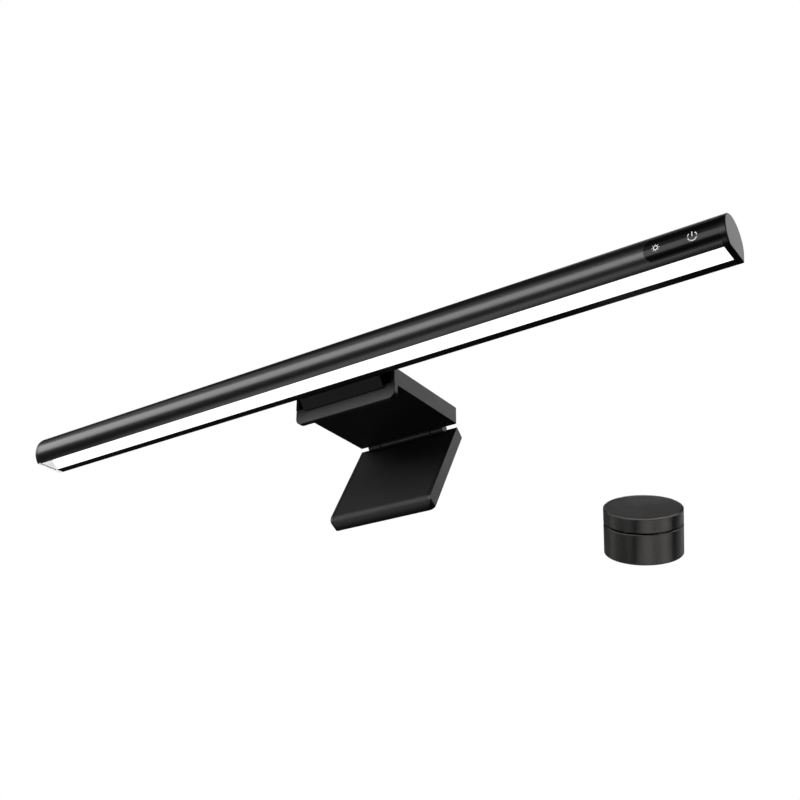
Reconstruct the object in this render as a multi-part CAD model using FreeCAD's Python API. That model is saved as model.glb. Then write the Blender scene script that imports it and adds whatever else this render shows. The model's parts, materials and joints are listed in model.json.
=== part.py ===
import FreeCAD, Part

# Monitor light bar: a D-section lamp on a tilting neck, a monitor clip with a sprung flap,
# and its loose wireless dial.
#
# Millimetres. +X runs along the bar, +Y to the back of the monitor, +Z up. The origin is the
# middle of the pad on the clip's underside, which rests on the monitor's top edge.

import math
import os

Vec = FreeCAD.Vector

# ---- Clearances and tools ----------------------------------------------------------------

RUNNING = 0.05           # radial clearance of a shaft that turns in its bore
PRESSED = 0.02           # radial clearance of a shaft that doesn't turn
FIT = 0.05               # clearance between fixed pieces
LOOSE = 0.1              # clearance of a piece dropped into a pocket
OVER = 1.0               # how far a cutting shape runs past what it cuts
WEDGE_REACH = 4.0        # how many radii a sector's cutting wedge reaches
FILM_MARGIN = 1.0        # the touch film stops short of the panel, in mm and in degrees
BOARD_ROOM = 0.3         # the dial's board inside its wall
FAR = 20.0               # past the bar's section on every side
SAME = 1e-6              # two lengths closer than this are the same

# ---- Bar: a round tube cut flat below, with a short straight back edge -------------------

BAR_LENGTH = 450.0
BAR_RADIUS = 11.5
BAR_FLAT = 7.85          # from the tube's axis down to the flat
BAR_BACK = 9.5           # from the axis back to the rear corner of the flat
BAR_Y = -46.1            # the tube's axis
BAR_Z = 12.45
WALL = 1.5
WEB_BOTTOM = 1.2         # inner web that carries the lamp board, above the axis
WEB_TOP = 2.2
WIRE_HOLE_X = 120.0      # wires pass through the web and the boards here
WIRE_HOLE_R = 2.0
WIRE_R = 0.5
WIRE_APART = 1.6

# End caps
CAP_THICK = 3.0
CAP_CHAMFER = 0.45
PLUG_DEPTH = 6.0         # plug that holds the cap in the upper room
PLUG_WALL = 1.5
WEB_LENGTH = 14.0        # the left cap's web closes the end of the light opening
WEB_EDGE = ((-210.5, -8.4), (-215.9, -2.7), (-221.2, 6.2))   # its curved edge, as (x, y)

# Light opening in the flat, measured from the tube's axis
SLOT_FRONT = -7.8
SLOT_BACK = 4.5
LIP_THICK = 1.2
FLANGE_FRONT = -8.35     # the diffuser's flange rests on the two lips of the opening
FLANGE_BACK = 5.7
FLANGE_THICK = 1.0

# Lamp board with its light sources, and the white trough below it
LAMP_HALF = 216.0
LAMP_FRONT = -6.2
LAMP_BACK = 3.0
LED_COUNT = 60
LED_PITCH = 7.0
LED_LENGTH = 3.5
LED_FRONT = -3.0
LED_BACK = -0.2
LED_HEIGHT = 0.8
TROUGH_TOP = (-5.6, 4.0)       # front and back of the trough's outside at the board
TROUGH_FOOT = (-7.6, 5.4)      # and at the diffuser
TROUGH_WALL = 0.5
TROUGH_ROOF = 0.4
TROUGH_WINDOW = (-3.4, 0.2)    # the row of light sources shines through it

# Touch panel let into the front of the tube at its right end
PANEL_LENGTH = 35.0
PANEL_HALF_ANGLE = 30.0
PANEL_THICK = 0.75
PANEL_END_RADIUS = 7.5
FILM_THICK = 0.25
FILM_INSET = 3.0

# Driver board in the upper room, and what stands on it: x0, x1, y0, y1, height
BOARD_X = (36.0, 130.0)
BOARD_Y = (-7.0, 6.0)
BOARD_Z = 2.3
BOARD_THICK = 1.0
CHIPS = ((62.0, 69.0, -4.0, 3.0, 1.2), (78.0, 83.0, -3.0, 1.0, 1.1), (88.0, 92.0, -5.0, -2.0, 1.0))
COIL = (98.0, 105.0, -3.5, 3.5, 3.2)
RADIO = (40.0, 43.2, -6.0, 6.0, 1.8)
CAPACITOR_R = 2.0
CAPACITOR_X = (108.0, 114.0)
CAPACITOR_Y = 2.6

# Power inlet, a USB-C socket in the back of the tube
USB_X = 48.0
USB_WIDTH = 8.94
USB_HEIGHT = 3.26
USB_SHELL = 0.3
USB_MOUTH = 9.9          # its mouth, back from the tube's axis
USB_DEPTH = 7.3
USB_BACK = 0.6
TONGUE_WIDTH = 6.7
TONGUE_THICK = 0.7
TONGUE_SET_IN = 0.8

# ---- Screws ------------------------------------------------------------------------------

SCREW_R = 1.0
SCREW_SHANK_R = 0.97
SCREW_HEAD_R = 1.8

# ---- Neck: wedge that joins the bar to the tilt pivot inside the clip --------------------

PIVOT_Y = -25.0
PIVOT_Z = 5.05
PIVOT_BARREL = 2.7
PIVOT_SHAFT = 1.5
SHAFT_SET_IN = 0.8       # the shaft's ends stop this far inside the clip's side faces
NECK_HALF = 27.0
NECK_FRONT = -38.0
NECK_FOOT = -36.3        # front end of the sloping face
NECK_FOOT_Z = 4.6
NECK_TIP = -31.7         # rear end of the sloping face, in front of the clip's lip
NECK_TIP_Z = -0.5
NECK_STEP = -32.05
NECK_STEP_Z = 5.3
NECK_REAR = -33.3        # flat that takes the screw heads
NECK_TOP_Z = 11.5
NECK_SLOPE = 20.0        # the arm's upper face leaves the barrel this far from the top, in degrees
NECK_SCREWS_X = (-18.0, 0.0, 18.0)
NECK_SCREW_Z = -3.65     # from the bar's axis
NECK_SCREW_HEAD = 1.0
NECK_SCREW_SLOT = (0.25, 1.2, 0.5)   # half width, half length, depth
NECK_SCREW_LENGTH = 4.4
BACKING_HALF = 24.0      # steel strip inside the tube that takes the neck's screws
BACKING_THICK = 1.6
BACKING_Z = (-5.3, -1.2)
WASHER_THICK = 0.6
WASHER_START = NECK_HALF + FIT

# ---- Clip --------------------------------------------------------------------------------

CLIP_HALF = 33.5
CLIP_FRONT = -31.1
CLIP_BACK = 30.6
CLIP_TOP = 10.1
CLIP_WALL = 2.0
CLIP_ROOF = 1.5
CLIP_CHAMFER = 0.4
CLIP_FLOOR = 1.4
LIP_FRONT = -31.0
LIP_BACK = -28.0
LIP_DROP = 7.6
LIP_CORNER = 4.0
LIP_CHAMFER = 0.3
PAD_THICK = 0.8
PAD_HALF_X = 30.2
PAD_HALF_Y = 26.8
LIP_PAD_HALF = 29.0
LIP_PAD_Z = (-6.4, -1.0)
CLIP_SCREWS = [(x, y) for x in (-20.0, 20.0) for y in (-14.0, 18.0)]
CLIP_SCREW_LENGTH = 5.5
BOSS_R = 2.6

# Flap hinge at the clip's back edge
HINGE_Y = 29.9
HINGE_Z = -1.3
HINGE_BARREL = 2.6
HINGE_PIN = 1.25
HINGE_HALF = 26.0        # the barrel's half length
KNUCKLE_SPLIT = 17.5     # the flap's barrel inside, the clip's knuckles outside
KNUCKLE_GAP = 0.3
HINGE_ARM = (28.1, 3.0)  # front and top of the arm that carries a clip knuckle
SPRING_HALF = 7.0        # the spring's room in the flap's barrel
SPRING_ROOM_R = 2.1
SPRING_WIRE = 0.3        # radius of the wire
SPRING_GAP = 0.2         # between the pin and the wire
SPRING_PITCH = 0.7

# ---- Flap: s runs down its inner face from the hinge, t through its thickness, outwards --

FLAP_LEAN = 29.32        # the inner face's angle from the vertical, lower end forwards
FLAP_Y = 30.9            # where the inner face starts
FLAP_Z = -2.6
FLAP_THICK = 6.9
FLAP_LENGTH = 60.5
FLAP_WALL = 2.0
FLAP_CORNER = 3.0        # lower corners seen from the front
FLAP_EDGE = 5.6          # the shell's lower inner edge in profile
FLAP_TOP = ((-0.9, 0.0), (-0.1, 4.46), (0.65, 6.9))   # its top, as (s, t), clear of the clip
NOSE_START = 53.0
NOSE_END = 60.5
NOSE_EDGE = 5.6          # the nose's, the same
PAD_START = 0.6
FLAP_PAD = 1.2
PLATE = (3.0, 51.5)      # s from, s to
PLATE_THICK = 1.0
PLATE_HALF = 30.0
WEIGHT = (8.0, 46.0)     # s from, s to
WEIGHT_T = (2.6, 5.4)
WEIGHT_HALF = 28.0
FLAP_SCREWS = [(x, s) for x in (-24.0, 24.0) for s in (5.0, 49.5)]
FLAP_SCREW_END = 4.9
FLAP_SCREW_HEAD = 0.5
LINK = ((-1.8, 0.2), (-1.8, 2.6), (2.5, 3.6), (2.5, FLAP_PAD), (0.5, FLAP_PAD), (0.5, 0.2))

# ---- Dial: heights are above its foot's underside ----------------------------------------

DIAL_RADIUS = 20.0
DIAL_HEIGHT = 24.9
DIAL_SPLIT = 16.6        # top of the base
DIAL_GAP = 0.9
DIAL_WALL = 1.6
DIAL_ROOF = 1.5
DIAL_CHAMFER = 0.45
DIAL_CENTRE = Vec(132.1, 50.1, -76.5)
DIAL_TIP = 38.0          # the dial's axis from the vertical
DIAL_TURN = -62.0        # the way it tips, from +X
BASE_BOTTOM = 0.8
BASE_BORE = 4.2
LEDGE_R = 16.6
LEDGE_Z = (6.2, 7.2)
POST_R = 1.8
POST_BOTTOM = 2.45
DOOR_TOP = 2.4
FOOT_R = (17.0, 14.0)    # outer, inner
FOOT_HEIGHT = 1.3
DIAL_SCREW_CIRCLE = 15.5
DIAL_SCREW_R = 0.8
DIAL_SCREW_HEAD_R = 1.4
DIAL_SCREW_Z = (1.32, 1.85, 5.5)     # head from, head to, tip
CELL_R = 10.0
CELL_Z = (2.9, 6.1)
CONTACT_HALF = 9.0       # half length of a contact strip
CONTACT_WIDE = 3.0       # its half width
CONTACT_THICK = 0.3
DIAL_BOARD_Z = (7.25, 8.25)
ENCODER_HALF = 6.0
ENCODER_TOP = 12.4
ENCODER_NECK_R = 4.0
STEM_R = 3.0
STEM_Z = (10.6, 21.5)
STEM_ROOM = 1.1          # free travel below the stem
RADIO_CHIP = (9.0, 14.0, -3.0, 3.0, 1.15)
CAP_WALL = 1.6
CAP_ROOF = 2.0
CAP_HUB = 5.5
CAP_RELIEF = (7.0, 0.6)  # radius and depth under the cap's hub

# ---- Worked-out sizes --------------------------------------------------------------------

HALF = BAR_LENGTH / 2
TUBE_HALF = HALF - CAP_THICK
INNER = BAR_RADIUS - WALL
SLOT_TOP = -BAR_FLAT + LIP_THICK
BOARD_TOP = BOARD_Z + BOARD_THICK
USB_Z = BOARD_TOP + USB_HEIGHT / 2
USB_REAR = USB_MOUTH - USB_DEPTH
PANEL_X = TUBE_HALF - PANEL_LENGTH
CLIP_INNER = CLIP_HALF - CLIP_WALL
CEILING = CLIP_TOP - CLIP_ROOF
FLAP_INNER = CLIP_HALF - FLAP_WALL
LEAN = math.radians(FLAP_LEAN)
FLAP_DOWN = Vec(0, -math.sin(LEAN), -math.cos(LEAN))
FLAP_OUT = Vec(0, math.cos(LEAN), -math.sin(LEAN))
DIAL_INNER = DIAL_RADIUS - DIAL_WALL
DIAL_SCREWS = [(DIAL_SCREW_CIRCLE * math.cos(math.radians(a)), DIAL_SCREW_CIRCLE * math.sin(math.radians(a)))
               for a in (90, 210, 330)]
CAP_BOTTOM = DIAL_SPLIT + DIAL_GAP


# ---- Helpers -----------------------------------------------------------------------------

def box(x0, x1, y0, y1, z0, z1):
    """A box between two corners."""
    return Part.makeBox(x1 - x0, y1 - y0, z1 - z0, Vec(x0, y0, z0))


def rod_x(y, z, radius, x0, x1):
    """A cylinder along X."""
    return Part.makeCylinder(radius, x1 - x0, Vec(x0, y, z), Vec(1, 0, 0))


def tube_x(y, z, outer, inner, x0, x1):
    """A tube along X."""
    return rod_x(y, z, outer, x0, x1).cut(rod_x(y, z, inner, x0 - OVER, x1 + OVER))


def rod_y(x, z, radius, y0, y1):
    """A cylinder along Y."""
    return Part.makeCylinder(radius, y1 - y0, Vec(x, y0, z), Vec(0, 1, 0))


def disc_z(x, y, radius, z0, z1):
    """A cylinder along Z."""
    return Part.makeCylinder(radius, z1 - z0, Vec(x, y, z0))


def ring_z(outer, inner, z0, z1):
    """A tube along Z about the origin."""
    return disc_z(0, 0, outer, z0, z1).cut(disc_z(0, 0, inner, z0 - OVER, z1 + OVER))


def prism_x(points, x0, x1):
    """A prism along X from points (y, z)."""
    corners = [Vec(x0, y, z) for y, z in points]
    face = Part.Face(Part.makePolygon(corners + corners[:1]))
    return face.extrude(Vec(x1 - x0, 0, 0))


def fuse(shapes):
    """One solid from several that touch, with its split faces joined."""
    return shapes[0].multiFuse(shapes[1:]).removeSplitter()


def both_ends(x0, x1):
    """The X ranges of a stretch right of the middle and of its mirror image."""
    return ((-x1, -x0), (x0, x1))


def sector_x(outer, inner, half_angle, x0, x1):
    """Part of a tube along X about the bar's axis, to half_angle above and below its front."""
    reach = WEDGE_REACH * outer
    across = reach * math.cos(math.radians(half_angle))
    up = reach * math.sin(math.radians(half_angle))
    wedge = prism_x([(0, 0), (-across, -up), (-reach, 0), (-across, up)], x0, x1)
    return tube_x(0, 0, outer, inner, x0, x1).common(wedge)


def to_bar(shape):
    """Moves a shape made about the bar's axis to its place."""
    return shape.translated(Vec(0, BAR_Y, BAR_Z))


def flap_point(x, s, t):
    """A point of the flap in the part's frame."""
    return Vec(x, FLAP_Y, FLAP_Z) + FLAP_DOWN * s + FLAP_OUT * t


def flap_prism(points, x0, x1):
    """A prism along X from points (s, t) on the flap."""
    placed = [flap_point(0, s, t) for s, t in points]
    return prism_x([(p.y, p.z) for p in placed], x0, x1)


def flap_slab(s0, s1, t0, t1, half):
    """A block on the flap, as wide as half to each side."""
    return flap_prism([(s0, t0), (s0, t1), (s1, t1), (s1, t0)], -half, half)


def flap_rod(s, t, radius, half):
    """A cylinder along X at (s, t) on the flap."""
    centre = flap_point(0, s, t)
    return rod_x(centre.y, centre.z, radius, -half, half)


def flap_pin(x, s, t0, t1, radius):
    """A cylinder through the flap's thickness, from t0 to t1."""
    return Part.makeCylinder(radius, t1 - t0, flap_point(x, s, t0), FLAP_OUT)


def to_dial(shape):
    """Tips and moves a shape made on the dial's own axis, with the foot's underside at z = 0."""
    moved = shape.translated(Vec(0, 0, -DIAL_HEIGHT / 2))
    turn = math.radians(DIAL_TURN)
    hinge = Vec(-math.sin(turn), math.cos(turn), 0)
    moved.rotate(Vec(0, 0, 0), hinge, DIAL_TIP)
    return moved.translated(DIAL_CENTRE)


def save(name, shape):
    """Writes one node, and says what it is."""
    solids = shape.Solids
    whole = solids[0] if len(solids) == 1 else Part.makeCompound(solids)
    whole.exportStep("parts/" + name + ".step")
    state = "" if all(solid.isValid() for solid in solids) else "BAD"
    print("%-20s solids %3d  volume %9.1f %s" % (name, len(solids), whole.Volume, state))


# ---- Bar ---------------------------------------------------------------------------------

def d_section(x0, x1):
    """The bar's outer shape: the cut tube with its straight back edge."""
    round_part = rod_x(0, 0, BAR_RADIUS, x0, x1)
    corner_angle = math.atan2(-BAR_FLAT, BAR_BACK)
    corner_reach = math.hypot(BAR_FLAT, BAR_BACK)
    tangent_angle = corner_angle + math.acos(BAR_RADIUS / corner_reach)
    tangent = (BAR_RADIUS * math.cos(tangent_angle), BAR_RADIUS * math.sin(tangent_angle))
    back = prism_x([(0, 0), tangent, (BAR_BACK, -BAR_FLAT), (0, -BAR_FLAT)], x0, x1)
    above_flat = box(x0 - OVER, x1 + OVER, -FAR, FAR, -BAR_FLAT, FAR)
    return fuse([round_part, back]).common(above_flat).removeSplitter()


def usb_opening(grow, y0, y1):
    """The round-ended opening of the power inlet, in the bar's frame."""
    half_w = USB_WIDTH / 2 + grow
    half_h = USB_HEIGHT / 2 + grow
    straight = half_w - half_h
    middle = box(USB_X - straight, USB_X + straight, y0, y1, USB_Z - half_h, USB_Z + half_h)
    ends = [rod_y(USB_X + side * straight, USB_Z, half_h, y0, y1) for side in (-1, 1)]
    return fuse([middle] + ends)


def panel_outline(grow):
    """The touch panel's outline seen from the front: straight edges and a bowed left end."""
    centre = PANEL_X - grow + PANEL_END_RADIUS
    bow = rod_y(centre, 0, PANEL_END_RADIUS, -FAR, FAR)
    rest = box(centre, TUBE_HALF + OVER, -FAR, FAR, -PANEL_END_RADIUS, PANEL_END_RADIUS)
    return fuse([bow, rest])


def bar_housing():
    """Extruded tube with a room for light below its web and one for wires above."""
    ends = (-TUBE_HALF - OVER, TUBE_HALF + OVER)
    bore = rod_x(0, 0, INNER, *ends)
    shape = d_section(-TUBE_HALF, TUBE_HALF)
    shape = shape.cut(bore.common(box(*ends, -FAR, FAR, SLOT_TOP, WEB_BOTTOM)))
    shape = shape.cut(bore.common(box(*ends, -FAR, FAR, WEB_TOP, FAR)))
    shape = shape.cut(box(*ends, SLOT_FRONT, SLOT_BACK, -BAR_FLAT - OVER, SLOT_TOP))
    shape = shape.cut(box(*ends, FLANGE_FRONT, 0, SLOT_TOP, SLOT_TOP + FLANGE_THICK))
    recess = sector_x(BAR_RADIUS + OVER, BAR_RADIUS - PANEL_THICK - FILM_THICK,
                      PANEL_HALF_ANGLE, PANEL_X - OVER, TUBE_HALF + OVER)
    front = box(*ends, -FAR, 0, -FAR, FAR)
    shape = shape.cut(recess.common(panel_outline(FIT)).common(front))
    shape = shape.cut(usb_opening(LOOSE, 0, FAR))
    for x in NECK_SCREWS_X:
        shape = shape.cut(rod_y(x, NECK_SCREW_Z, SCREW_R + LOOSE, BAR_RADIUS / 2, FAR))
    return shape.cut(disc_z(WIRE_HOLE_X, 0, WIRE_HOLE_R, WEB_BOTTOM - OVER, WEB_TOP + OVER))


def left_web_cut():
    """The space left of the curved edge between the left cap's web and the diffuser."""
    low = -BAR_FLAT - OVER
    start, middle, end = [Vec(x, y, low) for x, y in WEB_EDGE]
    edge = Part.Arc(start, middle, end).toShape()
    outside = [end, Vec(-HALF - OVER, end.y, low), Vec(-HALF - OVER, start.y, low), start]
    wire = Part.Wire([edge] + Part.makePolygon(outside).Edges)
    return Part.Face(wire).extrude(Vec(0, 0, FAR))


def diffuser():
    """Opal strip whose face is flush with the flat and whose flange rests on the lips."""
    face = box(-TUBE_HALF, TUBE_HALF, SLOT_FRONT + FIT, SLOT_BACK - FIT, -BAR_FLAT, SLOT_TOP)
    flange = box(-TUBE_HALF, TUBE_HALF, FLANGE_FRONT + FIT, FLANGE_BACK,
                 SLOT_TOP, SLOT_TOP + FLANGE_THICK - FIT)
    return fuse([face, flange]).cut(left_web_cut())


def led_board():
    """Metal-core board along the underside of the web."""
    board = box(-LAMP_HALF, LAMP_HALF, LAMP_FRONT, LAMP_BACK, 0, WEB_BOTTOM)
    return board.cut(disc_z(WIRE_HOLE_X, 0, WIRE_HOLE_R, -OVER, WEB_BOTTOM + OVER))


def led_chips():
    """The row of light sources under the lamp board."""
    first = -(LED_COUNT - 1) * LED_PITCH / 2
    middles = [first + i * LED_PITCH for i in range(LED_COUNT)]
    return Part.makeCompound([box(x - LED_LENGTH / 2, x + LED_LENGTH / 2, LED_FRONT, LED_BACK, -LED_HEIGHT, 0)
                              for x in middles])


def reflector():
    """White trough from the lamp board down to the diffuser."""
    foot = SLOT_TOP + FLANGE_THICK + FIT
    outer = prism_x([(TROUGH_TOP[0], 0), (TROUGH_TOP[1], 0), (TROUGH_FOOT[1], foot), (TROUGH_FOOT[0], foot)],
                    -LAMP_HALF, LAMP_HALF)
    inner = prism_x([(TROUGH_TOP[0] + TROUGH_WALL, -TROUGH_ROOF), (TROUGH_TOP[1] - TROUGH_WALL, -TROUGH_ROOF),
                     (TROUGH_FOOT[1] - TROUGH_WALL, foot - OVER), (TROUGH_FOOT[0] + TROUGH_WALL, foot - OVER)],
                    -LAMP_HALF - OVER, LAMP_HALF + OVER)
    window_half = LAMP_HALF - 2 * CAP_THICK
    return outer.cut(inner).cut(box(-window_half, window_half, *TROUGH_WINDOW, -OVER, OVER))


def end_cap(side):
    """A closing cap: a plate of the bar's outline with a plug for the upper room."""
    plate = d_section(TUBE_HALF, HALF)
    outer_edges = [e for e in plate.Edges if all(abs(v.X - HALF) < SAME for v in e.Vertexes)]
    plate = plate.makeChamfer(CAP_CHAMFER, outer_edges)
    plug = rod_x(0, 0, INNER - LOOSE, TUBE_HALF - PLUG_DEPTH, HALF - CAP_THICK / 2)
    plug = plug.common(box(0, HALF, -FAR, FAR, WEB_TOP + LOOSE, FAR))
    hollow = rod_x(0, 0, INNER - LOOSE - PLUG_WALL, 0, TUBE_HALF)
    hollow = hollow.common(box(0, HALF, -FAR, FAR, WEB_TOP + PLUG_WALL, FAR))
    cap = fuse([plate, plug.cut(hollow)])
    if side < 0:
        cap = cap.mirror(Vec(0, 0, 0), Vec(1, 0, 0))
        web = box(-TUBE_HALF - OVER, -TUBE_HALF + WEB_LENGTH, SLOT_FRONT + FIT, SLOT_BACK - FIT,
                  -BAR_FLAT, SLOT_TOP)
        cap = fuse([cap, web.common(left_web_cut())])
    return cap


def touch_panel():
    """Gloss panel, flush with the tube."""
    ring = sector_x(BAR_RADIUS, BAR_RADIUS - PANEL_THICK, PANEL_HALF_ANGLE, PANEL_X, TUBE_HALF)
    return ring.common(panel_outline(0))


def touch_film():
    """Printed sensor film behind the panel."""
    outer = BAR_RADIUS - PANEL_THICK
    half_angle = PANEL_HALF_ANGLE - FILM_MARGIN
    return sector_x(outer, outer - FILM_THICK, half_angle, PANEL_X + FILM_INSET, TUBE_HALF - FILM_MARGIN)


def driver_board():
    """Power and radio board in the upper room."""
    board = box(*BOARD_X, *BOARD_Y, BOARD_Z, BOARD_TOP)
    return board.cut(disc_z(WIRE_HOLE_X, 0, WIRE_HOLE_R, 0, BOARD_TOP + OVER))


def board_block(x0, x1, y0, y1, height):
    """A component that stands on the driver board."""
    return box(x0, x1, y0, y1, BOARD_TOP, BOARD_TOP + height)


def driver_chips():
    """The driver's integrated circuits."""
    return Part.makeCompound([board_block(*chip) for chip in CHIPS])


def power_coil():
    """Shielded coil of the driver."""
    return board_block(*COIL)


def capacitors():
    """Two capacitors lying on the board."""
    return Part.makeCompound([rod_x(y, BOARD_TOP + CAPACITOR_R + LOOSE, CAPACITOR_R, *CAPACITOR_X)
                              for y in (-CAPACITOR_Y, CAPACITOR_Y)])


def radio_module():
    """Radio module that listens to the dial."""
    return board_block(*RADIO)


def usb_socket():
    """Drawn shell of the power inlet."""
    shell = usb_opening(0, USB_REAR, USB_MOUTH)
    return shell.cut(usb_opening(-USB_SHELL, USB_REAR + USB_BACK, USB_MOUTH + OVER))


def usb_tongue():
    """Contact tongue inside the power inlet."""
    return box(USB_X - TONGUE_WIDTH / 2, USB_X + TONGUE_WIDTH / 2, USB_REAR + USB_BACK,
               USB_MOUTH - TONGUE_SET_IN, USB_Z - TONGUE_THICK / 2, USB_Z + TONGUE_THICK / 2)


def led_wires():
    """Two wires from the driver down to the lamp board."""
    low = WEB_BOTTOM - WIRE_R
    return Part.makeCompound([disc_z(WIRE_HOLE_X, y, WIRE_R, low, BOARD_TOP + WIRE_R)
                              for y in (-WIRE_APART / 2, WIRE_APART / 2)])


def backing_plate():
    """Curved steel strip inside the tube that takes the neck's screws."""
    strip = tube_x(0, 0, INNER, INNER - BACKING_THICK, -BACKING_HALF, BACKING_HALF)
    strip = strip.common(box(-BACKING_HALF, BACKING_HALF, 0, FAR, *BACKING_Z))
    for x in NECK_SCREWS_X:
        strip = strip.cut(rod_y(x, NECK_SCREW_Z, SCREW_R, BAR_RADIUS / 2, FAR))
    return strip


# ---- Neck and pivot ----------------------------------------------------------------------

def neck():
    """Wedge with the pivot barrel, cut to fit the tube's back."""
    low = PIVOT_Z - PIVOT_BARREL
    top = PIVOT_Z + PIVOT_BARREL
    tangent = PIVOT_BARREL * math.sin(math.radians(NECK_SLOPE))
    shoulder = PIVOT_Z + PIVOT_BARREL * math.cos(math.radians(NECK_SLOPE))
    outline = [(NECK_FRONT, NECK_FOOT_Z), (NECK_FOOT, NECK_FOOT_Z), (NECK_TIP, NECK_TIP_Z), (NECK_TIP, low),
               (PIVOT_Y, low), (PIVOT_Y, top), (PIVOT_Y - tangent, shoulder),
               (NECK_STEP, NECK_STEP_Z), (NECK_REAR, NECK_STEP_Z),
               (NECK_REAR, NECK_TOP_Z), (NECK_FRONT, NECK_TOP_Z)]
    barrel = rod_x(PIVOT_Y, PIVOT_Z, PIVOT_BARREL, -NECK_HALF, NECK_HALF)
    body = fuse([prism_x(outline, -NECK_HALF, NECK_HALF), barrel])
    body = body.cut(to_bar(d_section(-NECK_HALF - OVER, NECK_HALF + OVER)))
    body = body.cut(rod_x(PIVOT_Y, PIVOT_Z, PIVOT_SHAFT + RUNNING, -NECK_HALF - OVER, NECK_HALF + OVER))
    z = BAR_Z + NECK_SCREW_Z
    for x in NECK_SCREWS_X:
        body = body.cut(rod_y(x, z, SCREW_R + LOOSE, NECK_FRONT - OVER, PIVOT_Y))
        body = body.cut(rod_y(x, z, SCREW_HEAD_R + LOOSE, NECK_REAR - NECK_SCREW_HEAD - FIT, PIVOT_Y))
    return body


def neck_screws():
    """Slotted screws that hold the neck to the strip inside the tube."""
    z = BAR_Z + NECK_SCREW_Z
    head_start = NECK_REAR - NECK_SCREW_HEAD
    wide, long, deep = NECK_SCREW_SLOT
    screws = []
    for x in NECK_SCREWS_X:
        head = rod_y(x, z, SCREW_HEAD_R, head_start, NECK_REAR - FIT)
        shank = rod_y(x, z, SCREW_SHANK_R, head_start - NECK_SCREW_LENGTH, head_start)
        slot = box(x - wide, x + wide, NECK_REAR - deep, NECK_REAR, z - long, z + long)
        screws.append(fuse([head, shank]).cut(slot))
    return Part.makeCompound(screws)


def pivot_shaft():
    """Steel shaft through the clip's side walls."""
    reach = CLIP_HALF - SHAFT_SET_IN
    return rod_x(PIVOT_Y, PIVOT_Z, PIVOT_SHAFT, -reach, reach)


def pivot_rings(x0, x1):
    """A ring on the pivot shaft at each end of the neck's barrel."""
    return Part.makeCompound([tube_x(PIVOT_Y, PIVOT_Z, PIVOT_BARREL, PIVOT_SHAFT + PRESSED, *ends)
                              for ends in both_ends(x0, x1)])


def friction_washers():
    """Polymer washers that hold the bar at the angle it is set to."""
    return pivot_rings(WASHER_START, WASHER_START + WASHER_THICK)


def pivot_bushes():
    """Steel bushes between the washers and the clip's side walls."""
    return pivot_rings(WASHER_START + WASHER_THICK, CLIP_INNER)


# ---- Clip --------------------------------------------------------------------------------

def hinge_room(x0, x1, grow):
    """The hinge barrel's space, or what a body leaves free for the other's knuckles."""
    return rod_x(HINGE_Y, HINGE_Z, HINGE_BARREL + grow, x0, x1)


def clip_cover():
    """Top, sides and back of the clip, with the bosses for its screws and two hinge knuckles."""
    outer = box(-CLIP_HALF, CLIP_HALF, CLIP_FRONT, CLIP_BACK, 0, CLIP_TOP)
    low_edges = [e for e in outer.Edges if abs(e.BoundBox.ZMax) < SAME and e.BoundBox.YLength > OVER]
    outer = outer.makeChamfer(CLIP_CHAMFER, low_edges)
    room = box(-CLIP_INNER, CLIP_INNER, CLIP_FRONT - OVER, CLIP_BACK - CLIP_WALL, -OVER, CEILING)
    lip_room = box(-CLIP_HALF - OVER, CLIP_HALF + OVER, CLIP_FRONT - OVER, LIP_BACK + PRESSED, -OVER, CLIP_FLOOR)
    bosses = [disc_z(x, y, BOSS_R, CLIP_FLOOR, CEILING + CLIP_ROOF / 2) for x, y in CLIP_SCREWS]
    shape = fuse([outer.cut(room).cut(lip_room)] + bosses)
    for x, y in CLIP_SCREWS:
        shape = shape.cut(disc_z(x, y, SCREW_R, 0, CEILING))
    shape = shape.cut(hinge_room(-KNUCKLE_SPLIT, KNUCKLE_SPLIT, KNUCKLE_GAP))
    arm_front, arm_top = HINGE_ARM
    knuckles = []
    for ends in both_ends(KNUCKLE_SPLIT + KNUCKLE_GAP, HINGE_HALF):
        arm = box(*ends, arm_front, CLIP_BACK, HINGE_Z, arm_top)
        knuckles += [hinge_room(*ends, 0), arm]
    shape = fuse([shape] + knuckles)
    pin_half = HINGE_HALF - OVER
    shaft_half = CLIP_HALF - SHAFT_SET_IN + FIT
    shape = shape.cut(rod_x(HINGE_Y, HINGE_Z, HINGE_PIN + PRESSED, -pin_half, pin_half))
    return shape.cut(rod_x(PIVOT_Y, PIVOT_Z, PIVOT_SHAFT + PRESSED, -shaft_half, shaft_half))


def lip_shape():
    """The front lip, its lower corners rounded."""
    lip = box(-CLIP_HALF, CLIP_HALF, LIP_FRONT, LIP_BACK, -LIP_DROP, CLIP_FLOOR)
    corners = [e for e in lip.Edges if e.BoundBox.YLength > OVER and abs(e.BoundBox.ZMax + LIP_DROP) < SAME]
    lip = lip.makeFillet(LIP_CORNER, corners)
    front = [e for e in lip.Edges if abs(e.BoundBox.YMax - LIP_FRONT) < SAME and e.BoundBox.ZMin < 0]
    return lip.makeChamfer(LIP_CHAMFER, front)


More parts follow.
